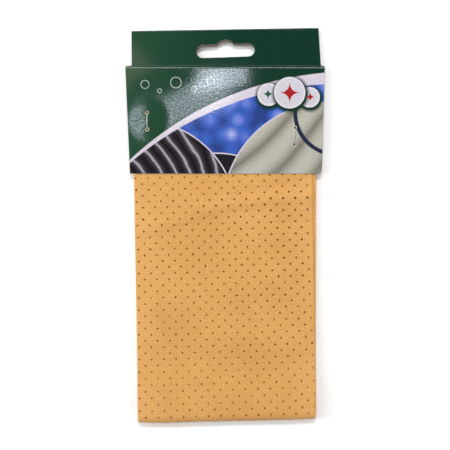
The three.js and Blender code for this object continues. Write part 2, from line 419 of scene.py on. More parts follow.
def clothBlank():
    pitch, row = clothCut["columnPitch"], clothCut["rowPitch"]
    rows = math.ceil(clothRun / (2 * row)) + clothCut["spareRows"]
    fields, start = [], 0
    for columns, sides in clothCut["fields"]:
        field = bmesh.new()
        tileField(field, sides, columns, rows)
        fields.append((field, (start * pitch, 0, 0)))
        start += columns
    blank = joined(fields)
    first = Vector((*clothCut["firstHole"], 0))
    # the field starts at least a column before the cut's edge and two rows before its end
    columnsBefore, rowsBefore = math.ceil(first.x / pitch) + 1, math.ceil(first.y / (2 * row)) + 1
    before = Vector((columnsBefore * pitch, rowsBefore * 2 * row, 0))
    half = pitch / 2
    for vert in blank.verts:
        i, j = round(vert.co.x / half), round(vert.co.y / row)
        centre = Vector((i * half, j * row, 0))
        away = vert.co - centre
        if (i + j) % 2 == 0 and mergeReach < away.length < 2 * clothCut["holeRadius"]:
            s, v = (centre - before + first).xy
            vert.co = centre + away * holeSize(i, j, s, min(v, clothRun - v))
    slope = Matrix.Identity(4)
    slope[1][0] = math.tan(math.radians(clothCut["rowSlope"]))
    slope[0][1] = -math.tan(math.radians(clothCut["columnSlope"]))
    bmesh.ops.translate(blank, vec=-before, verts=blank.verts)
    bmesh.ops.transform(blank, matrix=slope, verts=blank.verts)
    bmesh.ops.translate(blank, vec=first, verts=blank.verts)
    return blank


def stretchHoles(bm):
    near, far = clothCut["stretchAcross"]
    for vert in bm.verts:
        s, v = vert.co.xy
        k = near + (far - near) * smoothStep(*clothCut["stretchRun"], min(v, clothRun - v))
        away = min(max(s, 0), breaks[0]) - clothHalf
        down = min(v, middleV) - clothCut["stretchMiddle"]
        vert.co.x = s + k * away
        vert.co.y = v + clothCut["stretchDown"] * down ** 2 - clothCut["stretchLift"]


slant = (clothCut["cardReveal"] - clothCut["bottomReveal"]) / (cardFoot - clothFoot)


def onCutLine(s, v):
    cutS = clothCut["bottomReveal"] + slant * abs(v - middleV)
    return min(abs(s - cutS), abs(s - breaks[4]), abs(v), abs(v - clothRun)) < edgeReach


def trimBlank(bm):
    edge = (clothCut["bottomReveal"], middleV, 0)
    cutAt(bm, edge, (-1, -slant, 0), clear=True)
    cutAt(bm, edge, (-1, slant, 0), clear=True)
    cutAt(bm, (breaks[4], 0, 0), (1, 0, 0), clear=True)
    cutAt(bm, (0, 0, 0), (0, -1, 0), clear=True)
    cutAt(bm, (0, clothRun, 0), (0, 1, 0), clear=True)


def cutFoldLines(bm):
    steps = clothCut["sideFoldCuts"]
    for start, end in ((breaks[0], breaks[1]), (breaks[2], breaks[3])):
        cutAcross(bm, (1, 0, 0), [start + (end - start) * i / steps for i in range(steps + 1)])
    steps = clothCut["bottomFoldCuts"]
    cutAcross(bm, (0, 1, 0), [frontRun + bendRun * i / steps for i in range(steps + 1)])


def makeCloth(materials):
    bm = clothBlank()
    stretchHoles(bm)
    trimBlank(bm)
    cutFoldLines(bm)
    flatMap = bm.loops.layers.uv.new("flatCut")
    for face in bm.faces:
        for loop in face.loops:
            loop[flatMap].uv = loop.vert.co.xy / clothCut["span"]
        # the hidden middle ply's face takes the reverse, painted as shade for the holes above it
        if face.calc_center_median().x > breaks[3] + clothCut["reverseShadeFrom"]:
            face.material_index = 2
    cutEdge = bm.verts.layers.float.new("cutEdge")
    for vert in bm.verts:
        vert[cutEdge] = float(onCutLine(vert.co.x, vert.co.y))
        vert.co = folded(vert.co.x, vert.co.y)
    bmesh.ops.triangulate(bm, faces=[f for f in bm.faces if len(f.verts) > 4])
    bmesh.ops.recalc_face_normals(bm, faces=bm.faces)
    cloth = newPiece("perforatedCloth", bm, materials)
    # cut edges and hole walls take the foam core and undersides the reverse, both painted as shade
    thicken(cloth, clothCut["ply"], rim=1, inside=2)
    smoothExceptAt(cloth, degrees=50)
    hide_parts("cleaning_cloth")
    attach(cloth, "pack")
    print("cloth:", len(cloth.data.polygons), "faces")


chamois = {
    "nap": 1.1,  # mm; the felt's own 0.4 mm would be too fine to show
    "napHeight": 0.12,
    "napTones": [(0.3, "#d29953"), (0.7, "#e6af69")],
    "cloud": 26,
    "cloudTones": [(0.35, "#f8f5f0"), (0.65, "#ffffff")],
    "foldHighlight": "#f0b873",  # painted highlight: paler towards the side folds, where the rounded folds face the side lamps
    "foldHighlightRun": (36, 48),  # from the middle
    "foldHighlightShare": 0.22,
}


# Synthetic chamois: a foamed microfibre felt, buffed to a dry suede that scatters light softly
def chamoisMaterial():
    material, tree, shader = newMaterial("syntheticChamois", {
        "Roughness": 0.9, "Specular IOR Level": 0.25, "Sheen Weight": 0.12, "Sheen Roughness": 0.5,
    })
    flat = addNode(tree, "UVMap", {"uv_map": "flatCut"})
    place = addNode(tree, "Mapping", {"Scale": (clothCut["span"],) * 3}, {"Vector": flat})
    grain = addNode(tree, "TexNoise", {"Scale": 1 / chamois["nap"], "Detail": 3, "Roughness": 0.65},
                    {"Vector": place})
    cloud = addNode(tree, "TexNoise", {"Scale": 1 / chamois["cloud"], "Detail": 2}, {"Vector": place})
    tone = addNode(tree, "ValToRGB", {"stops": chamois["napTones"]}, {"Fac": grain})
    shade = addNode(tree, "ValToRGB", {"stops": chamois["cloudTones"]}, {"Fac": cloud})
    mixed = multiplied(tree, tone, shade)
    axes = addNode(tree, "SeparateXYZ", {}, {"Vector": place})
    off = addNode(tree, "Math", {"operation": "ADD", 1: -clothHalf}, {0: axes.outputs["X"]})
    aside = addNode(tree, "Math", {"operation": "ABSOLUTE"}, {0: off})
    # painted highlight towards the side folds
    near, far = chamois["foldHighlightRun"]
    foldHighlight = addNode(tree, "MapRange", {"From Min": near, "From Max": far, "To Max": chamois["foldHighlightShare"]},
                     {"Value": aside})
    highlighted = painted(tree, mixed, [(foldHighlight, chamois["foldHighlight"])])
    nap = addNode(tree, "Bump", {"Strength": 0.42, "Distance": chamois["napHeight"] * mm}, {"Height": grain})
    plug(tree, shader, {"Base Color": highlighted, "Normal": nap})
    return material


felt = {
    # painted shade: these tones stand in for the shade inside the holes and between the plies
    "shadedFoamCore": ("#7c3606", "#cf7a22"),
    "shadedChamoisReverse": ("#ac5a18", "#e09236"),
    "cells": 9,  # mm
    "holeShadeRun": (0.05, -0.03),  # m, the painted hole shade lightening towards the lower left
    "cellShare": 0.8,  # in the tone
    "holeShadeShare": 0.9,
    "trimmed": "#c28030",
}


# The foam core in cut edges and holes, and the felt's reverse, are painted darker than the buffed face as
# painted shade in the holes and between the plies.
# It is darkest at the upper right, where the plies stand furthest apart. Trimmed edges are paler, without
# that shade
def paintedShadeFeltMaterial(name):
    dark, light = felt[name]
    material, tree, shader = newMaterial(name, {"Roughness": 1.0, "Specular IOR Level": 0.0})
    place = addNode(tree, "TexCoord").outputs["Object"]
    cells = addNode(tree, "TexNoise", {"Scale": 1 / (felt["cells"] * mm), "Detail": 2}, {"Vector": place})
    corner = addNode(tree, "VectorMath", {"operation": "DOT_PRODUCT", 1: (1, 0.5, 0)}, {0: place})
    # painted shade by place, darkest at the upper right
    near, far = felt["holeShadeRun"]
    holeShade = addNode(tree, "MapRange", {"From Min": near, "From Max": far, "To Max": felt["holeShadeShare"]},
                    {"Value": corner.outputs["Value"]})
    mixed = addNode(tree, "Math", {"operation": "MULTIPLY_ADD", 1: felt["cellShare"]}, {0: cells, 2: holeShade})
    tone = addNode(tree, "ValToRGB", {"stops": [(0.35, dark), (1.0, light)]}, {"Fac": mixed})
    cut = addNode(tree, "Attribute", {"attribute_name": "cutEdge"})
    plug(tree, shader, {"Base Color": painted(tree, tone, [(cut.outputs["Fac"], felt["trimmed"])])})
    return material


makeCloth([chamoisMaterial(), paintedShadeFeltMaterial("shadedFoamCore"), paintedShadeFeltMaterial("shadedChamoisReverse")])


# Header card: one scored board, from the front panel's foot over the tab to the back panel's foot
card = {
    "board": 0.4,
    "creaseRadius": 0.45,
    "neckRadius": 0.25,
    "topShare": 0.98,  # of half the tab's thickness that its top fold rounds
    "arcSteps": 5,
    "support": 0.3,
    "taperLeft": 2,
    "taperRight": 1,
    "cornerRadius": 2.6,
    "tabStep": 0.5,  # behind the neck's score the tab has its own width
    "tabTopInset": 1.4,
    "tabRise": 1.8,  # how much higher the tab's right end is
    "tabSag": 0.0175,  # how the tab slopes away behind its score
    "grid": 3.2,  # largest mesh cell
    "slotLength": 32,
    "slotHeight": 7.05,
    "slotBump": 5.9,
    "slotAboveNeck": 4.9,
    "slotShift": 0.25,
    "slotTilt": 1.7,
    "rearDrop": 1.1,
    "rearShift": 0.3,
    "bow": 0.28,  # of the front panel between the staples
    "bowReach": 0.85,  # share of the bow's half wave that the panel's height covers
    "bowWave": (0.35, 21, 30),  # share that varies, and its lengths across and along
    "ripple": 0.08,
    "rippleNoise": (24, 20, 3.3),  # lengths across and along, and the noise's layer
    "rippleFrom": 0.2,  # share of the panel's height at which the ripple is full
    "dip": 0.08,  # where a staple presses the panel
    "dipSpread": (70, 140),  # mm2, across and along
    "edgeBand": 0.35,  # of scuffed varnish along the cut edges
    "mapMargin": 1,
    "span": 170,  # of the blank that the flat map covers
    "bendRun": (0.6, 0.8),  # before and behind the neck's score, where the crease bends
}

creaseY = frontHigh.y
neckY = boxOf("header_front_shoulder")[1].y
tabTop = tabHigh.y - card["tabRise"] / 2
panelHalf = frontHigh.x
mapCorner = Vector((panelHalf + card["mapMargin"], card["mapMargin"], 0))
frontMid, backMid, tabFrontMid, tabRearMid = [
    middleOf(node).z for node in ("header_front_panel", "header_back_panel", "tab_front_ply", "tab_rear_ply")
]


def roundedPath(corners, reaches):
    points = [Vector(corners[0])]
    for before, corner, after, reach in zip(corners, corners[1:], corners[2:], reaches):
        corner = Vector(corner)
        start = corner + (Vector(before) - corner).normalized() * reach
        end = corner + (Vector(after) - corner).normalized() * reach
        for i in range(card["arcSteps"] + 1):
            t = i / card["arcSteps"]
            points.append(start.lerp(corner, t).lerp(corner.lerp(end, t), t))
    points.append(Vector(corners[-1]))
    return points


turns = [card["creaseRadius"], card["neckRadius"], (tabFrontMid - tabRearMid) / 2 * card["topShare"]]
profile = roundedPath([
    (cardFoot, frontMid), (creaseY, frontMid), (neckY, tabFrontMid), (tabTop, tabFrontMid),
    (tabTop, tabRearMid), (neckY, tabRearMid), (creaseY, backMid), (cardFoot, backMid),
], turns + turns[::-1])
distances = [0]
for before, after in zip(profile, profile[1:]):
    distances.append(distances[-1] + (after - before).length)
boardRun = distances[-1]
perArc = card["arcSteps"] + 1
besideCreases = [d - card["support"] for d in distances[1:-1:perArc]]  # they keep the flats' shading flat
besideCreases += [d + card["support"] for d in distances[perArc:-1:perArc]]


def distanceAt(y):
    return min((abs(p.x - y), d) for p, d in zip(profile, distances) if d < boardRun / 2)[1]


creaseAt = distanceAt(creaseY)
neckAt = distanceAt(neckY)


def profileAt(t):
    for i in range(len(profile) - 1):
        if t <= distances[i + 1] or i == len(profile) - 2:
            share = (t - distances[i]) / (distances[i + 1] - distances[i])
            return profile[i].lerp(profile[i + 1], share)


staples = [middleOf(node) for node in ("staple_left", "staple_right")]


def boardBow(x, y):
    along = (creaseY - y) / (creaseY - cardFoot)
    if along <= 0:
        return 0
    spreadX, spreadY = card["dipSpread"]
    held = max(math.exp(-((x - s.x) ** 2 / spreadX + (y - s.y) ** 2 / spreadY)) for s in staples)
    share, lengthX, lengthY = card["bowWave"]
    swell = math.sin(math.pi * min(1, along * card["bowReach"]))
    swell *= 1 - share + share * math.cos(x / lengthX + y / lengthY)
    ripple = card["ripple"] * softNoise(x, y, card["rippleNoise"]) * smoothStep(0, card["rippleFrom"], along)
    return (card["bow"] * swell + ripple) * (1 - held) - card["dip"] * held


def cardPoint(x, t):
    y, z = profileAt(t)
    if y > neckY:
        y = neckY + (y - neckY) * (1 + card["tabRise"] * x / (2 * panelHalf) / (tabTop - neckY))
        z -= card["tabSag"] * (y - neckY)
    if t < creaseAt:
        z += boardBow(x, y)
    return Vector((x, y, z))


def lineTo(bm, start, x, y):
    end = bm.verts.new((x, y, 0))
    bm.edges.new((start, end))
    return end


def arcTo(bm, start, centre, degrees, steps):
    spun = bmesh.ops.spin(bm, geom=[start], cent=(*centre, 0), axis=(0, 0, 1),
                          angle=math.radians(degrees), steps=steps)
    return vertsOf(spun["geom_last"])[0]


def drawBlank(bm):
    inset, step = card["cornerRadius"], card["tabStep"]
    leftFoot, rightFoot = card["taperLeft"] - panelHalf, panelHalf - card["taperRight"]
    backNeck, backCrease, end = boardRun - neckAt, boardRun - creaseAt, boardRun
    first = bm.verts.new((leftFoot, 0, 0))
    pen = lineTo(bm, first, rightFoot - inset, 0)
    pen = arcTo(bm, pen, (rightFoot - inset, inset), 90, steps=6)
    right = [(panelHalf, creaseAt), (panelHalf, neckAt), (tabHigh.x, neckAt + step),
             (tabHigh.x - card["tabTopInset"], boardRun / 2), (tabHigh.x, backNeck - step),
             (panelHalf, backNeck), (panelHalf, backCrease), (rightFoot, end)]
    left = [(leftFoot, end), (-panelHalf, backCrease), (-panelHalf, backNeck), (tabLow.x, backNeck - step),
            (tabLow.x, boardRun / 2), (tabLow.x, neckAt + step), (-panelHalf, neckAt), (-panelHalf, creaseAt)]
    for x, y in right + left:
        pen = lineTo(bm, pen, x, y)
    bm.edges.new((pen, first))


# The slot's bump points away from the neck: side is 1 in front and -1 behind
def drawSlot(bm, side):
    end = card["slotHeight"] / 2
    reach = card["slotLength"] / 2 - end
    bumpStart = math.asin(end / card["slotBump"])
    foot = card["slotBump"] * math.cos(bumpStart)
    bumpTurn = side * math.degrees(math.pi - 2 * bumpStart)
    start = bm.verts.new((-reach, -side * end, 0))
    pen = lineTo(bm, start, reach, -side * end)
    pen = arcTo(bm, pen, (reach, 0), side * 180, steps=12)
    pen = lineTo(bm, pen, foot, side * end)
    pen = arcTo(bm, pen, (0, 0), bumpTurn, steps=10)
    pen = lineTo(bm, pen, -reach, side * end)
    pen = arcTo(bm, pen, (-reach, 0), side * 180, steps=12)
    bmesh.ops.remove_doubles(bm, verts=[start, pen], dist=mergeReach)


def slotLoops(bm):
    middle = neckAt + card["slotAboveNeck"] + card["slotHeight"] / 2
    rear = boardRun - middle + card["rearDrop"]
    places = [(card["slotShift"], middle, 1), (card["slotShift"] + card["rearShift"], rear, -1)]
    for x, y, side in places:
        before = set(bm.verts)
        drawSlot(bm, side)
        made = [v for v in bm.verts if v not in before]
        turn = Matrix.Rotation(math.radians(side * card["slotTilt"]), 4, "Z")
        bmesh.ops.transform(bm, matrix=Matrix.Translation((x, y, 0)) @ turn, verts=made)


def makeCard(materials):
    bm = bmesh.new()
    drawBlank(bm)
    slotLoops(bm)
    bmesh.ops.triangle_fill(bm, use_beauty=True, edges=bm.edges[:])
    if bm.faces[:][0].normal.z < 0:
        bmesh.ops.reverse_faces(bm, faces=bm.faces)
    band = card["edgeBand"]
    bmesh.ops.inset_region(bm, faces=bm.faces, thickness=band, use_boundary=True, use_even_offset=True)
    wear = bm.verts.layers.float.new("edgeWear")
    for vert in bm.verts:
        vert[wear] = float(vert.is_boundary)
    cell = card["grid"]
    cutAcross(bm, (1, 0, 0), [i * cell - panelHalf for i in range(1, math.ceil(2 * panelHalf / cell))])
    cutAcross(bm, (0, 1, 0), [i * cell for i in range(1, math.ceil(boardRun / cell))])
    cutAcross(bm, (0, 1, 0), distances[1:-1] + besideCreases)
    flatMap = bm.loops.layers.uv.new("flatBoard")
    for face in bm.faces:
        for loop in face.loops:
            loop[flatMap].uv = (loop.vert.co + mapCorner).xy / card["span"]
    for vert in bm.verts:
        vert.co = cardPoint(vert.co.x, vert.co.y)
    piece = newPiece("headerCard", bm, materials)
    thicken(piece, card["board"], rim=2, inside=1)
    smoothExceptAt(piece, degrees=40)
    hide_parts("header_front_panel", "header_back_panel", "header_front_shoulder",
                "header_back_shoulder", "tab_front_ply", "tab_rear_ply")
    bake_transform(piece)
    print("card:", len(piece.data.polygons), "faces")


rawBoard = {
    # darkened as painted shade for the gap between the tab's plies and the dark line along the slot's edges
    "shadedRawBoardBack": ("#65544f", "#7d6b66"),
    "shadedRawBoardEdge": ("#5d5450", "#80746c"),
    "tornBoard": ("#b5a98a", "#dcd2b8"),
    # painted shade: a dark disc filling each hole that a staple's leg tore
    "punctureShade": ("#251806", "#4a3518"),
    "fibre": 0.6,  # mm
}


# Raw core and back of the board: unbleached grey-brown pulp with visible fibres, paler where it is torn. The
# back's and the edges' dark tones are partly painted shade, and the puncture shade is painted shade only
def rawBoardMaterial(name):
    dark, light = rawBoard[name]
    material, tree, shader = newMaterial(name, {"Roughness": 0.95, "Specular IOR Level": 0.2})
    place = addNode(tree, "TexCoord").outputs["Object"]
    fibres = addNode(tree, "TexNoise", {"Scale": 1 / rawBoard["fibre"] / mm, "Detail": 4}, {"Vector": place})
    tone = addNode(tree, "ValToRGB", {"stops": [(0.3, dark), (0.7, light)]}, {"Fac": fibres})
    plug(tree, shader, {"Base Color": tone})
    return material


# The print: a pale ribbon over three fields, with bubbles and sparkles, in millimetres of the flat board
art = {
    "ribbon": ((70, -124), 180),
    "ribbonFoot": ((66, -134), 183.5),
    "leftHill": ((-47, -24), 53),
    "rightHill": ((58, -20), 59),
    "hillRim": 0.7,
    "middleHill": ((-4, -31), 42),
    "middleTone": "#26252a",
    "strap": ((62, 34), 24.5, 22.3),
    "strapTone": "#2b3348",
    "discs": [(24, 43.5, 6.2), (46.5, 42, 5.6), (35.5, 44.5, 8.6)],
    "discRim": 0.9,
    "discFace": "#dcd7e0",
    "shadeShift": (0.4, -0.8),
    "shadeReach": 1.4,
    "shadeBlur": 1.0,
    "shadeTone": "#173a28",
    "bubbles": [(-44, 49, 2.4), (-36, 45.5, 1.3), (-27, 50, 3.1), (-17, 46.5, 1.6), (-8, 51, 2.2)],
    "bubbleLine": 0.35,
    "bubbleTone": "#c9d3cd",
    "sparkles": [(35.5, 44.5, 6.2, "#b3262c"), (46.8, 42.2, 3.0, "#b3262c"), (23.6, 43.8, 3.4, "#2b5f43")],
    "greens": [(0.0, "#2c513b"), (1.0, "#173b2d")],  # from the left edge to past the middle, painted sheen at the left and painted shade to the right
    "greenRun": 5,
    "pale": "#e0d6e2",
    "white": "#ece8ee",
    "backField": "#8d938e",
    "rippleCentre": (-66, -14),
    "ripplePitch": 7.48,
    "grit": 1.1,
    "gritShare": 0.12,
    "charcoals": [(0.05, "#1f1d20"), (0.6, "#38343a"), (0.97, "#4f4a51"), (1.0, "#aaa3ae")],
    "dots": 9.5,
    "blues": [(0.1, "#b4bcec"), (0.28, "#7d90de"), (0.5, "#4368c8"), (0.8, "#31478f")],
    "foldPitch": 15.708,
    "foldTurn": 0.75,  # radians
    "beiges": [(0.0, "#8a867c"), (0.12, "#a29e92"), (0.5, "#b9b5a8"), (1.0, "#c6c3b8")],
}


def sparkleMask(tree, place, x, y, size, blur=0.03):
    near = addNode(tree, "VectorMath", {"operation": "SUBTRACT", 1: (x, y, 0)}, {0: place})
    plain = addNode(tree, "VectorMath", {"operation": "ABSOLUTE"}, {0: near})
    axes = addNode(tree, "SeparateXYZ", {}, {"Vector": plain})
    roots = [addNode(tree, "Math", {"operation": "SQRT"}, {0: axes.outputs[i]}) for i in (0, 1)]
    reach = addNode(tree, "Math", {"operation": "ADD"}, dict(enumerate(roots)))
    size = size ** 0.5
    return addNode(tree, "MapRange", {"From Min": size + blur, "From Max": size - blur}, {"Value": reach})


# A wave node's lines stand pi / 10 apart at a scale of 1
def printedFields(tree, place):
    # wet ripples on charcoal
    x, y = art["rippleCentre"]
    nearRipple = addNode(tree, "Mapping", {"Location": (-x, -y, 0)}, {"Vector": place})
    ripples = addNode(tree, "TexWave", {
        "wave_type": "RINGS", "rings_direction": "SPHERICAL", "Scale": math.pi / 10 / art["ripplePitch"],
        "Distortion": 2.2, "Detail": 2, "Detail Scale": 1.2,
    }, {"Vector": nearRipple})
    grit = addNode(tree, "TexNoise", {"Scale": 1 / art["grit"], "Detail": 3}, {"Vector": place})
    gritty = addNode(tree, "Math", {"operation": "MULTIPLY_ADD", 1: art["gritShare"]},
                     {0: grit, 2: ripples.outputs["Fac"]})
    charcoal = addNode(tree, "ValToRGB", {"stops": art["charcoals"]}, {"Fac": gritty})
    # soft bubbles on blue
    cells = addNode(tree, "TexVoronoi", {
        "feature": "SMOOTH_F1", "Scale": 1 / art["dots"], "Smoothness": 0.35,
    }, {"Vector": place})
    blue = addNode(tree, "ValToRGB", {"stops": art["blues"]}, {"Fac": cells})
    # soft folds on beige
    turned = addNode(tree, "Mapping", {"Rotation": (0, 0, art["foldTurn"])}, {"Vector": place})
    folds = addNode(tree, "TexWave", {
        "Scale": math.pi / 10 / art["foldPitch"], "Distortion": 9, "Detail": 1, "Detail Scale": 0.35,
    }, {"Vector": turned})
    beige = addNode(tree, "ValToRGB", {"stops": art["beiges"]}, {"Fac": folds.outputs["Fac"]})
    return charcoal, blue, beige


def printedArt(tree, place):
    def disc(centre, radius, blur=0.12):
        away = addNode(tree, "VectorMath", {"operation": "DISTANCE", 1: (*centre, 0)}, {0: place})
        return addNode(tree, "MapRange", {"From Min": radius + blur, "From Max": radius - blur},
                       {"Value": away.outputs["Value"]})

    charcoal, blue, beige = printedFields(tree, place)
    axes = addNode(tree, "SeparateXYZ", {}, {"Vector": place})
    # the green ground, with its painted sheen and shade across the card
    across = addNode(tree, "MapRange", {"From Min": -panelHalf, "From Max": art["greenRun"]},
                     {"Value": axes.outputs["X"]})
    green = addNode(tree, "ValToRGB", {"stops": art["greens"]}, {"Fac": across})
    inside = disc(*art["ribbonFoot"])
    layers = [(disc(*art["ribbon"]), art["pale"]), (inside, blue)]

    def layDisc(centre, radius, paint):
        layers.append((disc(centre, radius), paint))

    def layInside(mask, paint):
        layers.append((addNode(tree, "Math", {"operation": "MULTIPLY"}, {0: mask, 1: inside}), paint))

    for hill, paint in (("middleHill", art["middleTone"]), ("leftHill", charcoal), ("rightHill", beige)):
        centre, radius = art[hill]
        layInside(disc(centre, radius + art["hillRim"]), art["pale"])
        layInside(disc(centre, radius), paint)
    centre, outer, inner = art["strap"]
    within = [disc(centre, radius) for radius in (outer, inner)]
    layInside(addNode(tree, "Math", {"operation": "SUBTRACT"}, dict(enumerate(within))), art["strapTone"])
    shiftX, shiftY = art["shadeShift"]
    for x, y, radius in art["discs"]:
        shade = disc((x + shiftX, y + shiftY), radius + art["shadeReach"], art["shadeBlur"])
        layers.append((shade, art["shadeTone"]))
        layDisc((x, y), radius, art["white"])
        layDisc((x, y), radius - art["discRim"], art["discFace"])
    for x, y, radius in art["bubbles"]:
        layDisc((x, y), radius, art["bubbleTone"])
        layDisc((x, y), radius - art["bubbleLine"], green)
    for x, y, size, colour in art["sparkles"]:
        layers.append((sparkleMask(tree, place, x, y, size), colour))
    # the back panel has the ribbon alone, over a plain field
    for outline, colour in (("ribbon", art["pale"]), ("ribbonFoot", art["backField"])):
        (x, y), radius = art[outline]
        layDisc((-x, boardRun - y), radius, colour)
    return painted(tree, green, layers)


varnish = {
    "grains": {  # size in mm, detail and roughness
        "ink": (0.8, 3, 0.5),
        "breaks": (1.3, 4, 0.7),
        "scuffs": (4.0, 5, 0.7),
        "peel": (1.25, 2, 0.6),
        "pores": (0.9, 2, 0.6),
    },
    "inkTones": [(0.3, "#dcdcdc"), (0.7, "#ffffff")],
    "peelHeight": 0.01,
    "scoreWidth": 0.09,
    "scoreTone": "#96a79a",
    "scuffTone": "#8f9a90",
}


# Varnished board: offset print under a thin gloss varnish that follows the board's orange-peel surface
def printedBoardMaterial():
    material, tree, shader = newMaterial("varnishedBoard", {
        "Roughness": 0.5, "Specular IOR Level": 0.0, "Coat Roughness": 0.06,
    })
    flat = addNode(tree, "UVMap", {"uv_map": "flatBoard"})
    place = addNode(tree, "Mapping", {"Location": -mapCorner, "Scale": (card["span"],) * 3}, {"Vector": flat})
    grains = {}
    for name, (size, detail, roughness) in varnish["grains"].items():
        settings = {"Scale": 1 / size, "Detail": detail, "Roughness": roughness}
        grains[name] = addNode(tree, "TexNoise", settings, {"Vector": place})
    ink = addNode(tree, "ValToRGB", {"stops": varnish["inkTones"]}, {"Fac": grains["ink"]})
    inked = multiplied(tree, printedArt(tree, place), ink)
    # wear along the scores, broken up as the creasing left it
    axes = addNode(tree, "SeparateXYZ", {}, {"Vector": place})
    patchy = addNode(tree, "MapRange", {"From Min": 0.3, "From Max": 0.5}, {"Value": grains["breaks"]})
    wear = []
    for score in (creaseAt, boardRun - creaseAt):
        along = addNode(tree, "Math", {"operation": "COMPARE", 1: score, 2: varnish["scoreWidth"]},
                        {0: axes.outputs["Y"]})
        both = addNode(tree, "Math", {"operation": "MULTIPLY"}, {0: along, 1: patchy})
        wear.append((both, varnish["scoreTone"]))
    edge = addNode(tree, "Attribute", {"attribute_name": "edgeWear"})
    reach = addNode(tree, "Math", {"operation": "SUBTRACT"}, {0: edge.outputs["Fac"], 1: grains["scuffs"]})
    scuffed = addNode(tree, "MapRange", {"From Min": 0.12, "From Max": 0.3}, {"Value": reach})
    wear.append((scuffed, varnish["scuffTone"]))
    coat = addNode(tree, "MapRange", {"From Min": 0.4, "From Max": 0.6, "To Min": 0.3},
                   {"Value": grains["pores"]})
    relief = addNode(tree, "Bump", {"Strength": 1.0, "Distance": varnish["peelHeight"] * mm},
                     {"Height": grains["peel"]})
    plug(tree, shader, {
        "Base Color": painted(tree, inked, wear), "Coat Weight": coat,
        "Normal": relief, "Coat Normal": relief,
    })
    return material


makeCard([printedBoardMaterial(), rawBoardMaterial("shadedRawBoardBack"), rawBoardMaterial("shadedRawBoardEdge")])


# Staples: one bent wire each, clinched behind the back panel
wire = {
    "width": 0.6,
    "thickness": 0.5,
    "bend": 0.42,
    "clinch": 3.2,
    "press": 0.1,  # how deep the crown and the clinched ends bite into the board
    "turns": {"staple_left": 0.4, "staple_right": -3},
    "crown": 9.1,
    "streaks": (0.08, 1.5, 0.08),  # mm, the drawing lines' size along each axis
    "tones": [(0.3, "#8c918a"), (0.7, "#b4b9b1")],
}


def extendWire(bm, ring, move):
    made = bmesh.ops.extrude_edge_only(bm, edges=ring)["geom"]
    bmesh.ops.translate(bm, vec=move, verts=vertsOf(made))
    return edgesOf(made)


def bendWire(bm, ring, centre):
    spun = bmesh.ops.spin(bm, geom=ring, cent=centre, axis=(1, 0, 0), angle=math.radians(-90), steps=5)
    return edgesOf(spun["geom_last"])


def stapleFrame(node, height):
    middle = middleOf(node)
    turn = Matrix.Rotation(math.radians(wire["turns"][node]), 4, "Z")
    return Matrix.Translation((middle.x, middle.y, height)) @ turn


def makeStaple(node, material):
    half = (wire["crown"] - wire["thickness"]) / 2
    top = frontHigh.z - wire["press"] + wire["thickness"] / 2
    bottom = backLow.z + wire["press"] - wire["thickness"] / 2
    bend = wire["bend"]
    bm = bmesh.new()
    tip = bmesh.ops.create_circle(bm, cap_ends=True, segments=10, radius=0.5)["verts"]
    bmesh.ops.scale(bm, vec=(wire["width"], wire["thickness"], 1), verts=tip)
    bmesh.ops.rotate(bm, matrix=Matrix.Rotation(math.radians(90), 3, "X"), verts=tip)
    bmesh.ops.translate(bm, vec=(0, wire["clinch"] - half, bottom), verts=tip)
    ring = bm.edges[:]
    clinch, leg = bend - wire["clinch"], top - bottom - 2 * bend
    runs = [  # along the wire, and round which centre it then turns
        ((0, clinch, 0), (0, bend - half, bottom + bend)),
        ((0, 0, leg), (0, bend - half, top - bend)),
        ((0, 2 * half - 2 * bend, 0), (0, half - bend, top - bend)),
        ((0, 0, -leg), (0, half - bend, bottom + bend)),
    ]
    for move, centre in runs:
        ring = bendWire(bm, extendWire(bm, ring, move), centre)
    ring = extendWire(bm, ring, (0, clinch, 0))
    bmesh.ops.contextual_create(bm, geom=ring)
    bmesh.ops.transform(bm, matrix=stapleFrame(node, 0), verts=bm.verts)
    bmesh.ops.recalc_face_normals(bm, faces=bm.faces)
    staple = newPiece(node.replace("staple_", "") + "StapleWire", bm, [material])
    smoothExceptAt(staple, degrees=40)
    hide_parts(node)
    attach(staple, "pack")


# Galvanised steel wire: drawn, then zinc plated, dull grey with faint drawing lines
def stapleMaterial():
    material, tree, shader = newMaterial("galvanisedWire", {"Metallic": 1.0, "Roughness": 0.35})
    place = addNode(tree, "TexCoord").outputs["Object"]
    scale = [1 / (size * mm) for size in wire["streaks"]]
    stretched = addNode(tree, "Mapping", {"Scale": scale}, {"Vector": place})
    streaks = addNode(tree, "TexNoise", {"Scale": 1.0, "Detail": 2}, {"Vector": stretched})
    tone = addNode(tree, "ValToRGB", {"stops": wire["tones"]}, {"Fac": streaks})
    plug(tree, shader, {"Base Color": tone})
    return material


puncture = {
    "radius": 0.72,
    "outward": 0.25,  # how far it is torn out beyond the wire's leg
    "lift": 0.03,  # above the panel
    "burr": (1.35, 0.03),  # how far the torn fibres reach, as a share of the radius, and their height
    "foot": (1.7, -0.12),
    "tear": 1.6,  # tears to a millimetre
    "apart": 7,  # in the noise, from a leg to the middle
    "ragged": 0.6,  # how much the reach varies
    "curl": 0.35,  # how high the fibres stand
    "sunk": -0.1,  # where they lie lowest
}


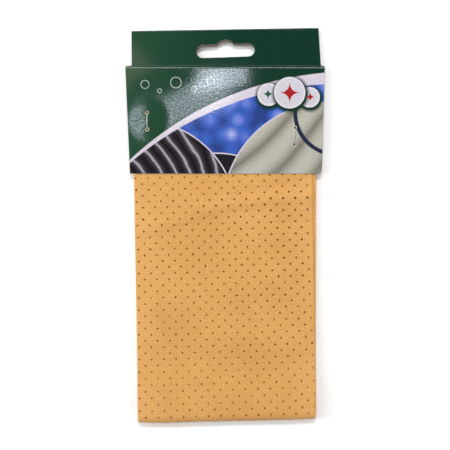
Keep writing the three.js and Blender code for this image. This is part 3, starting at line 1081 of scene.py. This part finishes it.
def makePunctures(materials):
    bm = bmesh.new()
    for node in wire["turns"]:
        middle = middleOf(node)
        for end in (-1, 1):
            spot = Vector((end * puncture["apart"], middle.x, 0))
            rim = bmesh.ops.create_circle(bm, cap_ends=True, segments=12, radius=puncture["radius"])["verts"]
            burr = bmesh.ops.extrude_edge_only(bm, edges=edgesBeside(rim))["geom"]
            foot = bmesh.ops.extrude_edge_only(bm, edges=edgesOf(burr))["geom"]
            for ring, (reach, height) in ((burr, puncture["burr"]), (foot, puncture["foot"])):
                for vert in vertsOf(ring):
                    tear = noise.noise(vert.co * puncture["tear"] + spot)
                    vert.co *= reach + puncture["ragged"] * tear
                    vert.co.z = height + puncture["curl"] * max(tear, puncture["sunk"])
            reach = end * ((wire["crown"] - wire["thickness"]) / 2 + puncture["outward"])
            height = frontHigh.z + boardBow(middle.x, middle.y + reach) + puncture["lift"]
            place = stapleFrame(node, height) @ Matrix.Translation((0, reach, 0))
            bmesh.ops.transform(bm, matrix=place, verts=rim + vertsOf(burr) + vertsOf(foot))
    # the disc in each hole takes the painted puncture shade, and the burr round it the torn board
    for face in bm.faces:
        face.material_index = int(len(face.verts) > 4)
    bmesh.ops.recalc_face_normals(bm, faces=bm.faces)
    torn = newPiece("tornPunctures", bm, materials)
    smoothExceptAt(torn, degrees=60)
    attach(torn, "pack")
    print("staples and punctures")


steel = stapleMaterial()
for node in wire["turns"]:
    makeStaple(node, steel)
makePunctures([rawBoardMaterial("tornBoard"), rawBoardMaterial("punctureShade")])


# Floor, light and camera
studio = {
    "floorSize": 2.4,
    "lamps": {  # place and size in metres, watts and colour
        "topLight": ((0.0, 0.58, 0.95), (0.45, 0.14), 5.9, "#ffffff"),
        "leftLight": ((-0.75, 0.15, 0.8), (0.4, 0.8), 4.7, "#ffffff"),
        "rightLight": ((0.75, 0.15, 0.8), (0.4, 0.8), 1.9, "#ffffff"),
        "patchLight": ((-0.042, 0.105, 0.707), (0.1, 0.045), 0.14, "#e8f0ff"),
        "brightLight": ((-0.003, 0.137, 0.707), (0.062, 0.038), 0.14, "#e8f0ff"),
        "edgeLight": ((-0.088, 0.07, 0.707), (0.018, 0.016), 0.0085, "#e8f0ff"),
        "tabLight": ((-0.145, 0.155, 0.707), (0.09, 0.07), 0.032, "#fff0d0"),
    },
    "wallLevel": 1.0,  # as it is seen and mirrored
    "wallLight": 0.72,  # share of it that lights the pack
    "ceilingLevel": 0.03,
    "ceilingRun": (0.3, 0.85),  # height of the view between the wall and the ceiling
    "tableColours": [(0.0, "#f2f2f4"), (1.0, "#ffffff")],  # for the light that it sheds, and as it is seen
    "tableGlow": (0.08, 0.75),  # near the pack and far away, where the lamps don't reach
    "glowRun": (0.15, 0.7),  # from the middle
    "cameraPlace": (-0.05, 53.2, 508.9),  # mm
    "cameraTilt": -5.7,  # degrees, its view leaning towards the cloth's end
    "focalPixels": 905,
    "imagePixels": 450,
}


# 1 where the camera sees a surface, in a mirror or through glass too, and 0 for the light that it sheds
def seenShare(tree):
    ray = addNode(tree, "LightPath")
    direct = addNode(tree, "Math", {"operation": "ADD"},
                     {0: ray.outputs["Is Camera Ray"], 1: ray.outputs["Is Glossy Ray"]})
    return addNode(tree, "Math", {"operation": "ADD", "use_clamp": True},
                   {0: direct, 1: ray.outputs["Is Transmission Ray"]})


# Pale table: smooth matt laminate, lit up far away so that it ends as white as the walls
def floorMaterial():
    material, tree, shader = newMaterial("paleTable", {
        "Roughness": 0.9, "Specular IOR Level": 0.1, "Emission Color": linear("#ffffff"),
    })
    seen = seenShare(tree)
    tone = addNode(tree, "ValToRGB", {"stops": studio["tableColours"]}, {"Fac": seen})
    place = addNode(tree, "TexCoord").outputs["Object"]
    away = addNode(tree, "VectorMath", {"operation": "LENGTH"}, {0: place})
    (near, far), (nearGlow, farGlow) = studio["glowRun"], studio["tableGlow"]
    run = {"From Min": near, "From Max": far, "To Min": nearGlow, "To Max": farGlow}
    level = addNode(tree, "MapRange", run, {"Value": away.outputs["Value"]})
    glow = addNode(tree, "Math", {"operation": "MULTIPLY"}, {0: seen, 1: level})
    plug(tree, shader, {"Base Color": tone, "Emission Strength": glow})
    return material


def makeFloor():
    bm = bmesh.new()
    bmesh.ops.create_grid(bm, x_segments=1, y_segments=1, size=studio["floorSize"] / 2 / mm)
    newPiece("table", bm, [floorMaterial()])


def aimedLamp(name, place, size, watts, colour):
    light = bpy.data.lights.new(name, "AREA")
    light.shape = "RECTANGLE"
    light.size, light.size_y = size
    light.energy = watts
    light.color = linear(colour)[:3]
    lamp = bpy.data.objects.new(name, light)
    lamp.location = place
    lamp.rotation_euler = (-Vector(place)).to_track_quat("-Z", "Y").to_euler()
    bpy.context.scene.collection.objects.link(lamp)


# White walls under a dark ceiling, so that the card's gloss mirrors only the lamps
def makeRoom():
    world = bpy.data.worlds.new("room")
    world.use_nodes = True
    tree = world.node_tree
    toward = addNode(tree, "TexCoord")
    axes = addNode(tree, "SeparateXYZ", {}, {"Vector": toward.outputs["Generated"]})
    low, high = studio["ceilingRun"]
    run = {"From Min": low, "From Max": high, "To Min": studio["wallLevel"], "To Max": studio["ceilingLevel"]}
    level = addNode(tree, "MapRange", run, {"Value": axes.outputs["Z"]})
    share = addNode(tree, "MapRange", {"To Min": studio["wallLight"]}, {"Value": seenShare(tree)})
    strength = addNode(tree, "Math", {"operation": "MULTIPLY"}, {0: level, 1: share})
    background = tree.nodes["Background"]
    plug(tree, background, {"Strength": strength})
    background.inputs["Color"].default_value = linear("#ffffff")
    bpy.context.scene.world = world


def makeCamera():
    view = bpy.data.cameras.new("view")
    view.lens = studio["focalPixels"] / studio["imagePixels"] * view.sensor_width
    camera = bpy.data.objects.new("view", view)
    camera.location = Vector(studio["cameraPlace"]) * mm
    camera.rotation_euler = (math.radians(studio["cameraTilt"]), 0, 0)
    bpy.context.scene.collection.objects.link(camera)
    bpy.context.scene.camera = camera
    bpy.context.scene.view_settings.view_transform = "Standard"


makeFloor()
for name, settings in studio["lamps"].items():
    aimedLamp(name, *settings)
makeRoom()
makeCamera()
print("studio: floor, lamps and camera")
